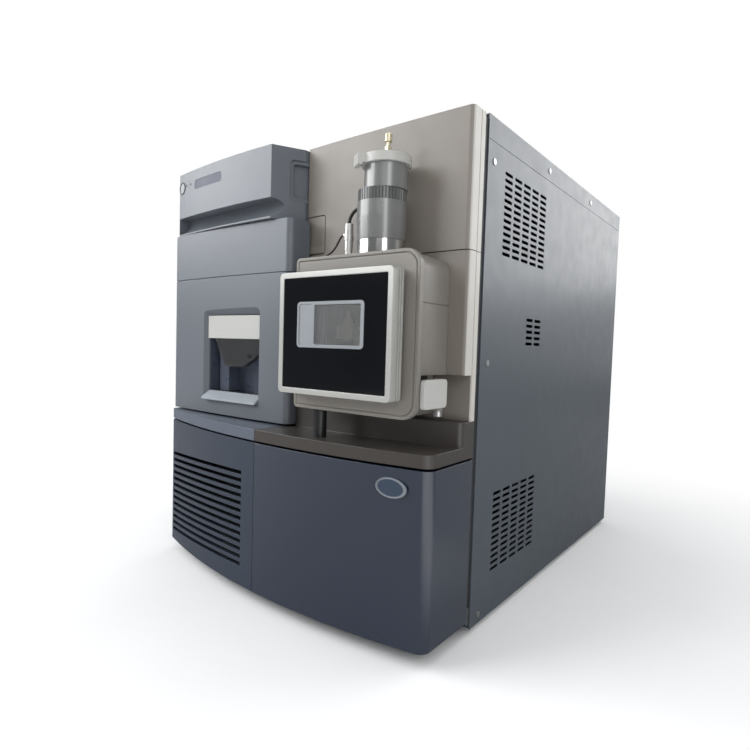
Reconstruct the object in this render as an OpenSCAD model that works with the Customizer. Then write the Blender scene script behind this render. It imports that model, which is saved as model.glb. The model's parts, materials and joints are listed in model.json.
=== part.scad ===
// Benchtop tandem quadrupole mass spectrometer with an ionisation source at the front.
// Millimetres, +Z up, front towards -Y. Inside the modules Y = 0 is the front edge of the side
// panels and Z = 0 their lower edge; placed() moves the model to its origin, which is the centre
// of the footprint at floor level.

/* [Cabinet] */
// Width over the side panels
body_w = 566; // [540:1:680]
// Height of the side panels
body_h = 660; // [656:1:800]
// Depth of the side panels
body_d = 637; // [600:1:760]
// Thickness of the sheet metal panels
sheet = 1.5; // [1:0.1:2]
// Height of the feet below the side panels
foot_h = 8; // [6:1:20]
// Height of the top cover's side strips
strip_h = 30; // [24:1:40]
// Gap between the front covers and the side panels
cover_gap = 10; // [8:1:14]

/* [Front covers] */
// Wall of the moulded covers
wall = 3; // [2:0.1:4]
// Gap between neighbouring covers
seam = 1; // [0.6:0.1:2]
// How far the lower covers stand out in front of the side panels
lower_reach = 131; // [125:1:157]
// Radius of the lower covers' bowed front
lower_bow_r = 1112; // [900:1:1500]
// Radius of the lower covers' front corners
corner_r = 15; // [10:1:18]
// Lower edge of the lower covers
cover_bottom = 12; // [10:1:20]
// Upper edge of the lower covers
cover_top = 225; // [220:1:226]
// Height of the ledge's top face
ledge_z = 244; // [242:1:246]
// How far the fascia stands out in front of the side panels
fascia_reach = 41; // [38:1:46]
// Height of the seam between the two fascia pieces
fascia_seam_z = 486; // [484:1:500]
// Lower and upper edge of the hand groove below the source
groove_z0 = 275; // [270:1:276]
groove_z1 = 333; // [330:1:340]

/* [Left column] */
// How far the column's upper cover stands out
column_reach = 85; // [82:1:90]
// How far the column's two lower covers stand out
column_lower_reach = 79; // [76:1:80]
// Radius of the column's bowed front
column_bow_r = 1500; // [1200:1:2000]
// Height of the seam under the upper cover
upper_seam_z = 548; // [544:1:550]
// Height of the seam under the middle cover
middle_seam_z = 470; // [460:1:480]
// Width of the chamfer beside the fascia
chamfer_w = 24; // [20:1:30]
// Depth of the hand recess
scoop_depth = 20; // [14:1:24]
// Height of the hand recess
scoop_h = 28; // [24:1:30]

/* [Grille] */
// Number of louvres in the grille cover
louvre_count = 13; // [6:1:14]
// Opening height of one louvre
louvre_gap = 5.5; // [4:0.1:6]
// Distance between louvres
louvre_pitch = 11.2; // [10:0.1:11.6]

/* [Vents] */
// Length of one vent slot
vent_len = 25; // [15:0.5:26]
// Height of one vent slot
vent_h = 4.6; // [3:0.1:6]
// Distance between slots along the panel
vent_pitch_y = 31.5; // [30:0.5:36]
// Distance between rows of slots
vent_pitch_z = 8.8; // [8:0.1:9.2]

/* [Source] */
// Distance from the right side to the middle of the source
source_inset = 117.5; // [116:0.5:120]
// Width of the source flange
flange_w = 194; // [188:1:196]
// Height of the source flange
flange_h = 195.5; // [190:0.5:197]
// Lower edge of the source flange
flange_z0 = 282; // [281:1:284]
// Corner radius of the source
source_r = 20; // [14:1:24]
// Width of the door
door_w = 179; // [149:1:180]
// Height of the door
door_h = 152; // [140:1:154]
// Lower edge of the door
door_z0 = 303; // [300:1:306]
// Thickness of the door
door_t = 21; // [16:1:24]
// Front of the door, in front of the side panels
door_reach = 146; // [145:1:150]

/* [Probe] */
// Radius of the probe's body
probe_r = 31; // [28:0.5:37]
// Height of the probe's body above its lock ring
probe_h = 92; // [86:1:100]
// Sideways offset of the probe's adjustable head
probe_shift = 5; // [0:0.5:6]

/* [Fits] */
// Radial clearance of pins in their bores
pin_fit = 0.05; // [0.02:0.01:0.1]
// Gap between parts that move past each other
running_gap = 0.4; // [0.3:0.1:0.8]

/* [Hidden] */
$fn = 96;
cut = 1;
right_x = body_w / 2;
left_x = -body_w / 2;
in_x = right_x - sheet;
split_x = 4.5;
back_y = body_d;
mid_y = (back_y - door_reach) / 2;
top_z = body_h;
fascia_top = top_z - 3;
column_top = top_z - 5;
cover_y = -cover_gap;
bulkhead_y = cover_y;

// A bow is the plan arc of a cover: X of its apex, Y of its apex, radius.
lower_bow = [right_x - 212, -lower_reach, lower_bow_r];
step_bow = [right_x - 212, -62, 1070];
fascia_bow = [right_x, -fascia_reach, 4830];
column_bow = [-37, -column_reach, column_bow_r];
column_lower_bow = [-57, -column_lower_reach, 2600];

fascia_set = 1.5;
ledge_bottom = 228;
lip_h = ledge_z - ledge_bottom;
groove_y = -22;
column_foot = ledge_z + 3;
column_corner = 5;
column_edge_r = 10;
column_side_x = split_x + 10.5;
column_side_y = -38;

source_x = right_x - source_inset;
flange_x0 = source_x - 93.5;
flange_x1 = flange_x0 + flange_w;
flange_left_r = 6;
flange_lip = 8;
flange_z1 = flange_z0 + flange_h;
flange_front = -120;
flange_back = -112;
housing_back = -fascia_reach + fascia_set;
door_x0 = flange_x0 - 3;
door_x1 = door_x0 + door_w;
door_z1 = door_z0 + door_h;
door_front = -door_reach;
door_back = door_front + door_t;
chamber_x0 = source_x - 78;
chamber_x1 = source_x + 74;
chamber_z0 = 318;
chamber_z1 = 442;
chamber_back = -52;
frame_w = 7;
bezel_x0 = door_x0 + 32;
bezel_x1 = door_x0 + 139;
bezel_z0 = door_z0 + 58.5;
bezel_z1 = door_z0 + 115;
pane_x0 = bezel_x0 + 29;
pane_x1 = bezel_x1 - 5;
pane_z0 = bezel_z0 + 4;
pane_z1 = bezel_z1 - 4;
door_hinge = [door_x0 - 5, door_back + 6];
hinge_r = 5;
hinge_pin_r = 2.5;

latch_pivot = [right_x - 19, -68];
latch_x0 = right_x - 16.4;
latch_x1 = right_x - 11;
latch_pin_r = 3;
latch_knuckle_r = 5.5;
latch_z0 = 295;
latch_z1 = 329;
latch_lug_t = 4.5;

probe = [right_x - 105, -78];
probe_z = 496.5;
probe_steps = [28, 48, 62];
head_r = probe_r - 3.5;

cover_hinge = [left_x + 9, -16];
cover_pin_r = 2;

nose_z = 380;
nose_r = 50;
nose_bore = 38;
manifold_x0 = source_x - 72;
manifold_x1 = source_x + 72;
manifold_y0 = 40;
manifold_y1 = 560;
manifold_z0 = 310;
manifold_z1 = 450;
manifold_wall = 12;
optics_y0 = manifold_y0 + manifold_wall + 10;
pump_x = source_x;
pump_y = 420;
pump_r = 62;
pump_z0 = 130;
fan = [-150, 480];
fan_size = 120;
rear_y = back_y - 14;
tray_z = 6;
tray_t = 2;

// ---------------------------------------------------------------- helpers

// Moves the model from its working position to its origin.
module placed() {
    translate([0, -mid_y, foot_h]) children();
}

// A box from its low corner to its high corner.
module block(low, high) {
    translate(low) cube(high - low);
}

// Extrusions of a flat outline along one axis; the outline's axes are (Y, Z), (X, Z) and (X, Y).
module along_x(x0, x1) {
    translate([x0, 0, 0]) rotate([90, 0, 90]) linear_extrude(x1 - x0) children();
}
module along_y(y0, y1) {
    translate([0, y1, 0]) rotate([90, 0, 0]) linear_extrude(y1 - y0) children();
}
module along_z(z0, z1) {
    translate([0, 0, z0]) linear_extrude(z1 - z0) children();
}

// A rectangle with round corners, from its low corner to its high corner.
module round_rect(x0, x1, y0, y1, r) {
    translate([x0 + r, y0]) square([x1 - x0 - 2 * r, y1 - y0]);
    translate([x0, y0 + r]) square([x1 - x0, y1 - y0 - 2 * r]);
    for (x = [x0 + r, x1 - r], y = [y0 + r, y1 - r]) translate([x, y]) circle(r);
}

// A ring between two radii, from z0 to z1 on the Z axis.
module tube(r_out, r_in, z0, z1) {
    translate([0, 0, z0]) difference() {
        cylinder(r = r_out, h = z1 - z0);
        translate([0, 0, -cut]) cylinder(r = r_in, h = z1 - z0 + 2 * cut);
    }
}

// Y of a bow's front at a given X.
function bow_y(bow, x) = bow[1] + bow[2] - sqrt(pow(bow[2], 2) - pow(x - bow[0], 2));

// Centre of the corner arc that runs from a bow's front into the side at x.
function corner_centre(bow, x, r, side) =
    let (cx = x - side * r)
    [cx, bow[1] + bow[2] - sqrt(pow(bow[2] - r, 2) - pow(cx - bow[0], 2))];

// Outline of a cover with a bowed front between x0 and x1, back edge at yb, inset by the given
// amount. r0 and r1 are the left and right corner radii, 0 for a square end.
bow_steps = 48;
corner_steps = 12;
function around(centre, r, turn) = centre + r * [sin(turn), -cos(turn)];
function bowed_outline(bow, x0, x1, yb, r0, r1, inset) =
    let (
        centre = [bow[0], bow[1] + bow[2]],
        r = bow[2] - inset,
        left = corner_centre(bow, x0, r0, -1),
        right = corner_centre(bow, x1, r1, 1),
        turn0 = r0 > 0 ? atan2(left[0] - centre[0], centre[1] - left[1]) : asin((x0 + inset - centre[0]) / r),
        turn1 = r1 > 0 ? atan2(right[0] - centre[0], centre[1] - right[1]) : asin((x1 - inset - centre[0]) / r)
    )
    concat(
        [[x1 - inset, yb], [x0 + inset, yb]],
        r0 > 0 ? [for (i = [0 : corner_steps - 1]) around(left, r0 - inset, -90 + (turn0 + 90) * i / corner_steps)] : [],
        [for (i = [0 : bow_steps]) around(centre, r, turn0 + (turn1 - turn0) * i / bow_steps)],
        r1 > 0 ? [for (i = [1 : corner_steps]) around(right, r1 - inset, turn1 + (90 - turn1) * i / corner_steps)] : []
    );

module bowed_plan(bow, x0, x1, yb, r0, r1, inset) {
    polygon(bowed_outline(bow, x0, x1, yb, r0, r1, inset));
}

// A moulded cover: closed front, sides, top and bottom, open at the back.
module bowed_shell(bow, x0, x1, yb, z0, z1, r0, r1) {
    difference() {
        along_z(z0, z1) bowed_plan(bow, x0, x1, yb, r0, r1, 0);
        along_z(z0 + wall, z1 - wall) bowed_plan(bow, x0, x1, yb + cut, r0, r1, wall);
    }
}

// A slot with round ends, centred, in the (Y, Z) or (X, Z) plane.
module slot(len, h) {
    square([len - h, h], center = true);
    for (s = [-1, 1]) translate([s * (len - h) / 2, 0]) circle(h / 2, $fn = 24);
}

// A field of slots whose lowest front slot is centred on the given point.
module slot_field(y0, z0, columns, rows) {
    for (i = [0 : columns - 1], k = [0 : rows - 1])
        translate([y0 + i * vent_pitch_y, z0 + k * vent_pitch_z]) slot(vent_len, vent_h);
}

// ---------------------------------------------------------------- cabinet

screw_places = [[18, top_z - 55], [212, top_z - 15], [426, top_z - 16], [21, 348], [23, 12]];
screw_r = 2.1;
screw_head_r = 4.2;
screw_head_h = 1;

module side_panel(side) {
    x0 = side > 0 ? in_x : left_x;
    seam_z = top_z - strip_h;
    difference() {
        union() {
            block([x0, 0, 0], [x0 + sheet, back_y, seam_z - 0.6]);
            // folded foot of the sheet, turned in under the tray
            block([side > 0 ? right_x - 12 : left_x, 2, 0], [side > 0 ? right_x : left_x + 12, back_y - 2, sheet]);
        }
        along_x(x0 - cut, x0 + sheet + cut) {
            slot_field(64.5, 494.5, 5, 13);
            slot_field(158, 376, 2, 5);
            slot_field(68, 62.5, 5, 13);
            for (p = screw_places) if (p[1] < seam_z) translate(p) circle(screw_r);
        }
    }
}

module side_panel_right() placed() color([0.27, 0.31, 0.37]) side_panel(1);
module side_panel_left() placed() color([0.27, 0.31, 0.37]) side_panel(-1);

module top_cover() placed() color([0.3, 0.34, 0.4]) {
    seam_z = top_z - strip_h;
    difference() {
        union() {
            block([left_x, 0, top_z - sheet], [right_x, back_y, top_z]);
            for (x = [left_x, in_x]) block([x, 0, seam_z], [x + sheet, back_y, top_z]);
            block([left_x, back_y - sheet, seam_z], [right_x, back_y, top_z]);
        }
        for (x = [left_x, in_x])
            along_x(x - cut, x + sheet + cut)
                for (p = screw_places) if (p[1] > seam_z) translate(p) circle(screw_r);
    }
}

module panel_screws() placed() color([0.75, 0.76, 0.78]) {
    for (side = [-1, 1], p = screw_places) {
        translate([side * in_x, p[0], p[1]]) rotate([0, side * 90, 0]) {
            cylinder(r = screw_r - pin_fit, h = sheet + 0.2);
            translate([0, 0, sheet]) cylinder(r = screw_head_r, h = screw_head_h);
        }
    }
}

module base_tray() placed() color([0.55, 0.57, 0.6]) {
    difference() {
        union() {
            block([-in_x, bulkhead_y + 2, tray_z], [in_x, rear_y, tray_z + tray_t]);
            for (x = [-in_x, in_x - tray_t]) block([x, bulkhead_y + 2, tray_z], [x + tray_t, rear_y, 30]);
        }
        along_x(-in_x - cut, in_x + cut)
            for (p = screw_places) translate(p) circle(screw_r + 2);
        // intake slots over the lower bay
        along_z(tray_z - cut, tray_z + tray_t + cut)
            for (i = [0 : 8], k = [0 : 3]) translate([-220 + i * 26, 120 + k * 60]) rotate(90) slot(44, 8);
    }
}

foot_r = 20;
module feet() placed() color([0.12, 0.12, 0.13])
    for (x = [-1, 1], y = [60, back_y - 70])
        translate([x * (in_x - 50), y, -foot_h]) {
            cylinder(r1 = foot_r - 2, r2 = foot_r, h = 3);
            translate([0, 0, 3]) cylinder(r = foot_r, h = foot_h + tray_z - 3);
        }

module front_bulkhead() placed() color([0.2, 0.21, 0.23]) {
    difference() {
        union() {
            block([-in_x, bulkhead_y, tray_z + tray_t], [in_x, bulkhead_y + 2, fascia_top - wall]);
            for (x = [-in_x, in_x - 2]) block([x, bulkhead_y, 32], [x + 2, 10, fascia_top - wall]);
        }
        // opening for the vacuum nose
        along_y(bulkhead_y - cut, bulkhead_y + 3) translate([source_x, nose_z]) circle(nose_r + 4);
        // air intake slots behind the grille
        along_y(bulkhead_y - cut, bulkhead_y + 3)
            for (i = [0 : 4], k = [0 : 2]) translate([left_x + 56 + i * 44, 45 + k * 15]) slot(36, 6);
        // room for the upper cover's edge when it swings open
        block([left_x, bulkhead_y - cut, upper_seam_z - 4], [left_x + 22, 12, top_z]);
    }
}

module rear_panel() placed() color([0.55, 0.57, 0.6]) {
    z0 = tray_z + tray_t;
    z1 = top_z - sheet;
    difference() {
        union() {
            block([-in_x, rear_y, z0], [in_x, rear_y + sheet, z1]);
            for (x = [-in_x, in_x - sheet]) block([x, rear_y, z0], [x + sheet, back_y - sheet, z1]);
            block([-in_x, rear_y, z0], [in_x, back_y - sheet, z0 + sheet]);
        }
        along_y(rear_y - cut, rear_y + sheet + cut) {
            // fan grille of concentric rings between four spokes
            difference() {
                for (r = [18 : 11 : 51]) translate(fan) difference() {
                    circle(r + 7);
                    circle(r);
                }
                for (a = [45, 135]) translate(fan) rotate(a) square([fan_size, 5], center = true);
            }
            // vent rows
            for (i = [0 : 3], k = [0 : 11]) translate([60 + i * 52, 235 + k * 8.8]) slot(44, 4.6);
            for (i = [0 : 3], k = [0 : 11]) translate([-220 + i * 52, 50 + k * 8.8]) slot(44, 4.6);
            // holes for the fittings
            translate([200, 80]) square([48, 28], center = true);
            translate([200, 200]) circle(16);
            for (x = [120, 150]) translate([x, 200]) circle(6);
        }
    }
}

module rear_fittings() placed() color([0.3, 0.3, 0.32]) {
    // mains inlet with its pins
    difference() {
        block([176, rear_y - 20, 66], [224, rear_y + sheet + 2, 94]);
        along_y(rear_y - 15, rear_y + 8) round_rect(188, 212, 72, 88, 3);
    }
    for (x = [194, 200, 206]) block([x - 1, rear_y - 16, 77], [x + 1, rear_y - 4, 83]);
    // vacuum exhaust stub and two gas fittings
    translate([200, rear_y - 14, 200]) rotate([-90, 0, 0]) {
        tube(16, 12, 0, 14 + sheet + 10);
    }
    for (x = [120, 150]) translate([x, rear_y - 14, 200]) rotate([-90, 0, 0]) tube(6, 2, 0, 14 + sheet + 9);
}

module fan_frame() placed() color([0.12, 0.12, 0.13]) {
    half = fan_size / 2;
    translate([fan[0], 0, fan[1]]) difference() {
        along_y(rear_y - 25, rear_y) round_rect(-half, half, -half, half, 6);
        along_y(rear_y - 26, rear_y + cut) circle(half - 3);
        along_y(rear_y - 26, rear_y + cut)
            for (x = [-1, 1], y = [-1, 1]) translate([x * 52.5, y * 52.5]) circle(2.2);
    }
    // four struts and the motor's seat
    translate([fan[0], rear_y - 25, fan[1]]) rotate([-90, 0, 0]) {
        difference() {
            union() {
                cylinder(r = 19, h = 4);
                for (a = [0 : 90 : 270]) rotate(a) block([10, -2, 0], [half - 2, 2, 4]);
            }
            translate([0, 0, -cut]) cylinder(r = 3 + pin_fit, h = 6);
        }
    }
}

module fan_rotor() placed() color([0.18, 0.18, 0.19]) {
    translate([fan[0], rear_y - 25, fan[1]]) rotate([-90, 0, 0]) {
        cylinder(r = 3, h = 22);
        translate([0, 0, 4.6]) cylinder(r = 19, h = 18);
        intersection() {
            translate([0, 0, 5]) cylinder(r = fan_size / 2 - 5, h = 17);
            for (a = [0 : 360 / 7 : 359]) rotate(a) translate([12, 0, 13.5]) rotate([50, 0, 0])
                block([0, -14, -1], [60, 14, 1]);
        }
    }
}

// ---------------------------------------------------------------- fascia and ledges

// The right end of a fascia piece turns back as a flange with a shallow crease.
crease_y = -21;
module flange_crease(z0, z1) {
    block([right_x - 0.8, crease_y - 0.8, z0 - cut], [right_x + cut, crease_y + 0.8, z1 + cut]);
}

module upper_fascia() placed() color([0.53, 0.5, 0.47]) {
    z0 = fascia_seam_z + 0.4;
    difference() {
        bowed_shell(fascia_bow, split_x + seam / 2, right_x, cover_y, z0, fascia_top, 0, 2.5 + wall);
        flange_crease(z0, fascia_top);
        // access panel outline and small port plate beside the column
        along_y(-fascia_reach - 5, -20) difference() {
            round_rect(split_x - 12, right_x - 240, 499, 556, 5);
            round_rect(split_x - 12, right_x - 241.2, 500.2, 554.8, 4);
        }
        translate([probe[0], probe[1], 0]) cylinder(r = probe_r + 4, h = body_h - 40);
    }
    // port plate
    along_y(bow_y(fascia_bow, right_x - 258) - 1.2, bow_y(fascia_bow, right_x - 258) + 1)
        round_rect(right_x - 273, right_x - 241.5, 500.5, 511.6, 1);
}

module lower_fascia() placed() color([0.47, 0.44, 0.41]) {
    set_bow = [fascia_bow[0], fascia_bow[1] + fascia_set, fascia_bow[2]];
    x0 = split_x + seam / 2;
    z1 = fascia_seam_z - 0.4;
    difference() {
        union() {
            bowed_shell(set_bow, x0, right_x, cover_y, groove_z1, z1, 0, 2.5 + wall);
            // back wall of the hand groove, joined to the shell's lower wall
            block([x0, groove_y, groove_z0], [right_x, groove_y + wall, groove_z1 + wall]);
            block([right_x - wall, groove_y, groove_z0], [right_x, cover_y, groove_z1 + wall]);
            block([x0, groove_y, groove_z0], [x0 + wall, cover_y, groove_z1 + wall]);
        }
        flange_crease(groove_z0, z1);
        // clearance for the vacuum nose
        along_y(-60, cover_y + cut) translate([source_x, nose_z]) circle(nose_r + 1);
    }
}

module ledge_right() placed() color([0.33, 0.3, 0.28]) {
    x0 = split_x + seam / 2;
    step_x0 = column_side_x + seam;
    difference() {
        union() {
            // step wall between the groove and the ledge
            along_z(ledge_z - wall, groove_z0) bowed_plan(step_bow, step_x0, right_x, cover_y, 0, 8, 0);
            along_z(ledge_bottom, ledge_z) bowed_plan(lower_bow, x0, right_x, cover_y, 0, corner_r, 0);
        }
        along_z(ledge_bottom - cut, ledge_z - wall) bowed_plan(lower_bow, x0, right_x, cover_y + cut, 0, corner_r, wall);
        along_z(ledge_z - 2 * wall, groove_z0 - wall) bowed_plan(step_bow, step_x0, right_x, cover_y + cut, 0, 8, wall);
        translate([drain[0], drain[1], ledge_z - wall - cut]) cylinder(r = drain_r + pin_fit, h = wall + 2 * cut);
    }
}

module ledge_left() placed() color([0.36, 0.4, 0.46]) {
    difference() {
        along_z(ledge_bottom, ledge_z) bowed_plan(lower_bow, left_x, split_x - seam / 2, cover_y, corner_r, 0, 0);
        along_z(ledge_bottom - cut, ledge_z - wall)
            bowed_plan(lower_bow, left_x, split_x - seam / 2, cover_y + cut, corner_r, 0, wall);
    }
}

// ---------------------------------------------------------------- lower covers

badge_x = right_x - 49;
badge_z = 201;
badge_w = 45;
badge_h = 24;

module badge_outline(grow) {
    scale([1, badge_h / badge_w]) circle(badge_w / 2 + grow);
}

module lower_cover_right() placed() color([0.21, 0.25, 0.32]) {
    difference() {
        bowed_shell(lower_bow, split_x + seam / 2, right_x, cover_y, cover_bottom, cover_top, 0, corner_r);
        along_y(-lower_reach - 5, bow_y(lower_bow, badge_x) + 1.2) translate([badge_x, badge_z]) badge_outline(0.2);
    }
}

module badge() placed() color([0.5, 0.53, 0.58]) {
    along_y(bow_y(lower_bow, badge_x) - 1, bow_y(lower_bow, badge_x) + 1.1)
        translate([badge_x, badge_z]) badge_outline(0);
}

// Louvres: slanted slots that fan out slightly, cut through a thickened wall so that the blades
// between them lean down and inwards.
louvre_x0 = left_x + 14;
louvre_x1 = split_x - 29;
louvre_top = 181;
louvre_depth = 12;
louvre_slant = 9;

module louvre_cutter() {
    mid = louvre_gap / 2;
    deep = louvre_depth + 70;
    along_x(louvre_x0, louvre_x1) polygon([
        [-lower_reach - 5, mid + louvre_slant * 0.1],
        [-lower_reach + deep, mid - louvre_slant * deep / louvre_depth / 3],
        [-lower_reach + deep, -mid - louvre_slant * deep / louvre_depth / 3],
        [-lower_reach - 5, -mid + louvre_slant * 0.1]
    ]);
}

module grille_cover() placed() color([0.3, 0.34, 0.4]) {
    x1 = split_x - seam / 2;
    difference() {
        along_z(cover_bottom, cover_top) bowed_plan(lower_bow, left_x, x1, cover_y, corner_r, 0, 0);
        // plain shell above and below the louvres
        along_z(cover_bottom + wall, 26) bowed_plan(lower_bow, left_x, x1, cover_y + cut, corner_r, 0, wall);
        along_z(190, cover_top - wall) bowed_plan(lower_bow, left_x, x1, cover_y + cut, corner_r, 0, wall);
        // thick wall behind the louvres
        along_z(25, 191) bowed_plan(lower_bow, left_x, x1, cover_y + cut, corner_r, 0, louvre_depth);
        for (i = [0 : louvre_count - 1])
            translate([0, 0, louvre_top - 2 - i * louvre_pitch]) louvre_cutter();
    }
}

// ---------------------------------------------------------------- left column

chamfer_a = [split_x - 1.5 - chamfer_w, -column_reach];
chamfer_b = [split_x - 1.5, -38];
chamfer_dir = (chamfer_b - chamfer_a) / norm(chamfer_b - chamfer_a);
chamfer_angle = atan2(chamfer_dir[1], chamfer_dir[0]);
grip_u0 = 29;
grip_z0 = 577.5;
grip_z1 = 638;
grip_step = 5.5;
grip_depth = 9;
scoop_top = upper_seam_z + scoop_h + 3;
scoop_r = 28;
scoop_x0 = left_x + 3.5;
scoop_x1 = split_x - 13.5;
scoop_end = [13, 22];

// Plan of the upper cover: the bowed front cut back by the chamfer on its right.
module upper_plan(inset) {
    difference() {
        bowed_plan(column_bow, left_x, chamfer_b[0], cover_hinge[1] - 2, column_corner, 0, inset);
        translate(chamfer_a) rotate(chamfer_angle) translate([-100, -100]) square([200, 100 + inset]);
    }
}

// Trough along the chord of the bow between x0 and x1, used for the hand recess and its backing.
// Its roof is flat, its back is a quarter round of radius r and it opens towards the front.
scoop_steps = 18;
module scoop_trough(r, x0, x1) {
    from = [scoop_x0, bow_y(column_bow, scoop_x0)];
    to = [scoop_x1, bow_y(column_bow, scoop_x1)];
    turn = atan2(to[1] - from[1], to[0] - from[0]);
    roof = r - scoop_r;
    round_y = scoop_depth - scoop_r;
    translate([from[0], from[1], scoop_top]) rotate([0, 0, turn]) along_x(x0 - scoop_x0, x1 - scoop_x0)
        polygon(concat(
            [[round_y + r, roof], [round_y - 40, roof], [round_y - 40, -r]],
            [for (i = [0 : scoop_steps]) let (a = -90 + 90 * i / scoop_steps) [round_y + r * cos(a), r * sin(a)]]
        ));
}

// Rounds the upper right corner of the hand recess, seen from the front.
module scoop_corner() {
    along_y(-column_reach - 10, -column_reach + 60) polygon(concat(
        [[scoop_x1 + 3, scoop_top + cut], [scoop_x1 + 3, scoop_top - scoop_end[1]]],
        [for (i = [0 : scoop_steps]) let (a = 90 * i / scoop_steps)
            [scoop_x1 + scoop_end[0] * (cos(a) - 1), scoop_top + scoop_end[1] * (sin(a) - 1)]],
        [[scoop_x1 - scoop_end[0], scoop_top + cut]]
    ));
}

// Places its children on the chamfer: X along it, Y into the cover, Z up.
module on_chamfer() {
    translate([chamfer_a[0], chamfer_a[1], 0]) rotate([0, 0, chamfer_angle]) children();
}

button_x = left_x + 13.5;
button_r = 9;
button_z = 631;
button_angle = asin((column_bow[0] - button_x) / column_bow[2]);

// Places its children on the power button's axis, +Z pointing out of the cover.
module on_button() {
    translate([button_x, bow_y(column_bow, button_x), button_z]) rotate([0, 0, -button_angle])
        rotate([90, 0, 0]) children();
}

module upper_cover() placed() color([0.42, 0.46, 0.53]) {
    z0 = upper_seam_z + seam / 2;
    back = cover_hinge[1] - 2;
    difference() {
        union() {
            difference() {
                along_z(z0, column_top) upper_plan(0);
                // the hollow, less the backing of the hand recess, the finger grip and the button
                difference() {
                    union() {
                        along_z(z0 + wall, column_top - wall) upper_plan(wall);
                        block([left_x + wall, back - 20, z0 + wall], [chamfer_b[0] - wall, back + cut, column_top - wall]);
                    }
                    scoop_trough(scoop_r + wall, scoop_x0 - wall, scoop_x1 + 4);
                    on_chamfer() block([grip_u0 - 2, -1, grip_z0 - 2], [70, grip_depth + 2, grip_z1 + 2]);
                    on_button() block([-13, -13, -12], [13, 13, 8]);
                }
            }
            // hinge knuckles on the left wall
            for (z = knuckles_cover) {
                translate([cover_hinge[0], cover_hinge[1], z]) cylinder(r = 4.5, h = 14);
                block([left_x + 0.5, cover_hinge[1] - 6, z], [cover_hinge[0], cover_hinge[1] - 2, z + 14]);
            }
        }
        difference() {
            scoop_trough(scoop_r, scoop_x0, scoop_x1);
            scoop_corner();
        }
        // stepped finger grip, open towards the fascia
        on_chamfer() {
            along_y(-cut, 2.5) round_rect(grip_u0, 70, grip_z0, grip_z1, 7);
            along_y(-cut, grip_depth)
                round_rect(grip_u0 + grip_step, 70, grip_z0 + grip_step, grip_z1 - grip_step, 5);
        }
        on_button() translate([0, 0, -30]) cylinder(r = 5 + pin_fit, h = 40);
        on_button() translate([0, 0, -4]) cylinder(r = button_r + 1.5 + pin_fit, h = 10);
        // windows of the two lights and the display strip
        along_y(-column_reach - 10, -column_reach + 30) {
            for (x = light_x) translate([x, button_z + 2]) circle(2.4);
            round_rect(strip_x0, strip_x1, strip_z0, strip_z1, 4.5);
        }
        for (z = knuckles_cover)
            translate([cover_hinge[0], cover_hinge[1], z - cut]) cylinder(r = cover_pin_r + pin_fit, h = 16);
    }
}

knuckles_cover = [576, 613];

light_x = [left_x + 29, left_x + 44];
strip_x0 = left_x + 58;
strip_x1 = left_x + 140;
strip_z0 = 622;
strip_z1 = 637;

// Strips that fill their windows and follow the bow.
module display_strip() placed() color([0.25, 0.28, 0.33])
    intersection() {
        along_y(-column_reach - 10, -column_reach + 30)
            round_rect(strip_x0 + 0.1, strip_x1 - 0.1, strip_z0 + 0.1, strip_z1 - 0.1, 4.4);
        along_z(strip_z0, strip_z1) difference() {
            bowed_plan(column_bow, left_x, split_x, -20, 0, 0, 0.3);
            bowed_plan(column_bow, left_x, split_x, -20 + cut, 0, 0, wall);
        }
    }

module status_lights() placed() color([0.1, 0.12, 0.14])
    for (x = light_x)
        translate([x, bow_y(column_bow, x) + wall + 1.5, button_z + 2]) rotate([90, 0, 0]) cylinder(r = 2.3, h = wall + 1.5);

module power_ring() placed() color([0.15, 0.16, 0.19])
    on_button() tube(button_r + 1.5, button_r - 0.5, -4, 0.8);

module power_button() placed() color([0.3, 0.33, 0.38])
    on_button() {
        translate([0, 0, -1.8]) cylinder(r = button_r - 0.8, h = 2);
        translate([0, 0, -16]) cylinder(r = 5, h = 14.4);
    }

module cover_hinge_bracket() placed() color([0.55, 0.57, 0.6])
    difference() {
        for (z = [561, 628]) {
            translate([cover_hinge[0], cover_hinge[1], z]) cylinder(r = 4.5, h = 14);
            block([cover_hinge[0], cover_hinge[1], z], [left_x + 34, cover_hinge[1] + 4, z + 14]);
            block([left_x + 24, cover_hinge[1], z], [left_x + 34, bulkhead_y, z + 14]);
        }
        for (z = [561, 628]) translate([cover_hinge[0], cover_hinge[1], z - cut]) cylinder(r = cover_pin_r + pin_fit, h = 16);
    }

module cover_hinge_pin() placed() color([0.75, 0.76, 0.78])
    translate([cover_hinge[0], cover_hinge[1], 558]) cylinder(r = cover_pin_r, h = 88);

// Plan of the column's middle and lower covers, with their step in front of the fascia.
module column_plan(inset) {
    bowed_plan(column_lower_bow, left_x, column_side_x, column_side_y, column_corner, column_edge_r, inset);
    translate([left_x + inset, column_side_y - 8])
        square([split_x - seam / 2 - left_x - 2 * inset, cover_y - column_side_y + 8]);
}

module column_hollow(z0, z1) {
    along_z(z0 + wall, z1 - wall) difference() {
        union() {
            column_plan(wall);
            translate([left_x + wall, cover_y - 10]) square([split_x - seam / 2 - left_x - 2 * wall, 12]);
        }
        translate([split_x - seam / 2 - wall, column_side_y - wall]) square([30, 60]);
    }
}

module middle_cover() placed() color([0.42, 0.46, 0.53]) {
    z0 = middle_seam_z + seam / 2;
    z1 = upper_seam_z - seam / 2;
    difference() {
        along_z(z0, z1) column_plan(0);
        column_hollow(z0, z1);
    }
}

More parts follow.
